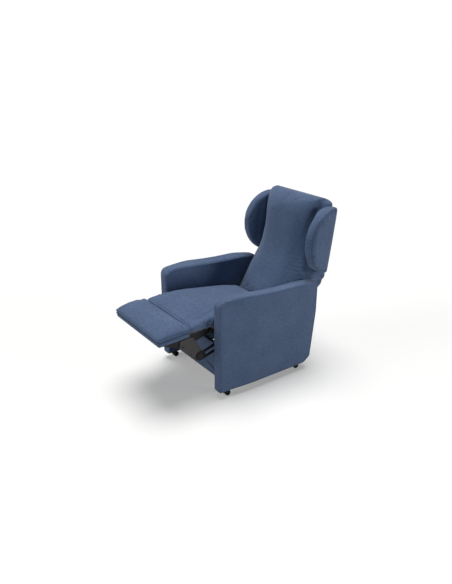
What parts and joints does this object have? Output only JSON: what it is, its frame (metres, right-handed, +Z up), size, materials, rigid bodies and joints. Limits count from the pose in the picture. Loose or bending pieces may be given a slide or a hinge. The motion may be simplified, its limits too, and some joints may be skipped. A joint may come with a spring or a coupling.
{
  "type": "recliner armchair",
  "caption": "Upholstered wing-back recliner on castors with a folding footrest on a link mechanism and a leaning back.",
  "frame": {"origin": "on the floor, midway between the castors' wheel contacts", "axes": "+Z up, the chair faces -Y, +X is the sitter's left"},
  "size_m": [0.7, 1.3309, 1.1388],
  "materials": {
    "timber": "matte",
    "arm_fabric": "matte",
    "panel_fabric": "matte",
    "seat_fabric": "matte",
    "back_fabric": "matte",
    "webbing": "matte",
    "frame_steel": "satin",
    "black_steel": "satin",
    "link_paint": "satin",
    "fastener_steel": "satin",
    "castor_hood": "matte",
    "castor_wheel": "satin"
  },
  "bodies": {
    "base": {"arm_frame_left": "timber", "arm_frame_right": "timber", "arm_cover_left": "arm_fabric", "arm_cover_right": "arm_fabric", "front_board": "timber", "front_cover": "panel_fabric", "rear_board": "timber", "tie_tubes": "frame_steel", "packing_strips": "timber", "side_plate_left": "frame_steel", "side_plate_right": "frame_steel", "mechanism_bolts": "fastener_steel", "pivot_pins": "fastener_steel", "seat_side_rails": "timber", "seat_cross_rails": "timber", "seat_webbing": "webbing", "seat_cushion": "seat_fabric", "castor_sockets": "frame_steel"},
    "legrest": {"legrest_arm_left": "black_steel", "legrest_arm_right": "black_steel", "legrest_tube": "frame_steel", "link_pins": "fastener_steel", "bridge_board": "timber", "bridge_pad": "seat_fabric", "footrest_board": "timber", "footrest_wrap": "panel_fabric", "footrest_bolts": "fastener_steel", "footrest_pad": "seat_fabric"},
    "rockers": {"rocker_left": "black_steel", "rocker_right": "black_steel", "torque_tube": "frame_steel"},
    "link_left": {"link_plate_left": "link_paint", "link_bolts_left": "fastener_steel"},
    "link_right": {"link_plate_right": "link_paint", "link_bolts_right": "fastener_steel"},
    "back": {"back_post_left": "timber", "back_post_right": "timber", "back_rail_top": "timber", "back_rail_middle": "timber", "back_rail_bottom": "timber", "back_webbing": "webbing", "back_pad": "back_fabric", "back_shell": "back_fabric", "wing_left": "back_fabric", "wing_right": "back_fabric", "wing_boards": "timber", "wing_bolts": "fastener_steel", "back_bracket_left": "frame_steel", "back_bracket_right": "frame_steel", "back_bolts": "fastener_steel"},
    "castor_fl": {"castor_hood_fl": "castor_hood"},
    "wheels_fl": {"castor_wheels_fl": "castor_wheel"},
    "castor_fr": {"castor_hood_fr": "castor_hood"},
    "wheels_fr": {"castor_wheels_fr": "castor_wheel"},
    "castor_rl": {"castor_hood_rl": "castor_hood"},
    "wheels_rl": {"castor_wheels_rl": "castor_wheel"},
    "castor_rr": {"castor_hood_rr": "castor_hood"},
    "wheels_rr": {"castor_wheels_rr": "castor_wheel"}
  },
  "joints": [
    {"name": "legrest_hinge", "type": "hinge", "parent": "base", "child": "legrest", "pos_m": [0, -0.36, 0.448], "axis": [1, 0, 0], "range_deg": [0, 88]},
    {"name": "rocker_hinge", "type": "hinge", "parent": "base", "child": "rockers", "pos_m": [0, -0.244, 0.352], "axis": [1, 0, 0], "range_deg": [0, 88]},
    {"name": "link_left_hinge", "type": "hinge", "parent": "legrest", "child": "link_left", "pos_m": [0, -0.556, 0.392], "axis": [1, 0, 0], "range_deg": [-88, 0]},
    {"name": "link_right_hinge", "type": "hinge", "parent": "legrest", "child": "link_right", "pos_m": [0, -0.556, 0.392], "axis": [1, 0, 0], "range_deg": [-88, 0]},
    {"name": "back_hinge", "type": "hinge", "parent": "base", "child": "back", "pos_m": [0, 0.24, 0.38], "axis": [-1, 0, 0], "range_deg": [-8, 30]},
    {"name": "swivel_fl", "type": "hinge", "parent": "base", "child": "castor_fl", "pos_m": [0.311, -0.302, 0.05], "axis": [0, 0, 1], "continuous": true},
    {"name": "roll_fl", "type": "hinge", "parent": "castor_fl", "child": "wheels_fl", "pos_m": [0.311, -0.288, 0.019], "axis": [1, 0, 0], "continuous": true},
    {"name": "swivel_fr", "type": "hinge", "parent": "base", "child": "castor_fr", "pos_m": [-0.311, -0.302, 0.05], "axis": [0, 0, 1], "continuous": true},
    {"name": "roll_fr", "type": "hinge", "parent": "castor_fr", "child": "wheels_fr", "pos_m": [-0.311, -0.288, 0.019], "axis": [1, 0, 0], "continuous": true},
    {"name": "swivel_rl", "type": "hinge", "parent": "base", "child": "castor_rl", "pos_m": [0.311, 0.274, 0.05], "axis": [0, 0, 1], "continuous": true},
    {"name": "roll_rl", "type": "hinge", "parent": "castor_rl", "child": "wheels_rl", "pos_m": [0.311, 0.288, 0.019], "axis": [1, 0, 0], "continuous": true},
    {"name": "swivel_rr", "type": "hinge", "parent": "base", "child": "castor_rr", "pos_m": [-0.311, 0.274, 0.05], "axis": [0, 0, 1], "continuous": true},
    {"name": "roll_rr", "type": "hinge", "parent": "castor_rr", "child": "wheels_rr", "pos_m": [-0.311, 0.288, 0.019], "axis": [1, 0, 0], "continuous": true}
  ],
  "couplings": [
    {"joint": "rocker_hinge", "follows": "legrest_hinge", "ratio": 1},
    {"joint": "link_left_hinge", "follows": "legrest_hinge", "ratio": -1},
    {"joint": "link_right_hinge", "follows": "legrest_hinge", "ratio": -1}
  ]
}
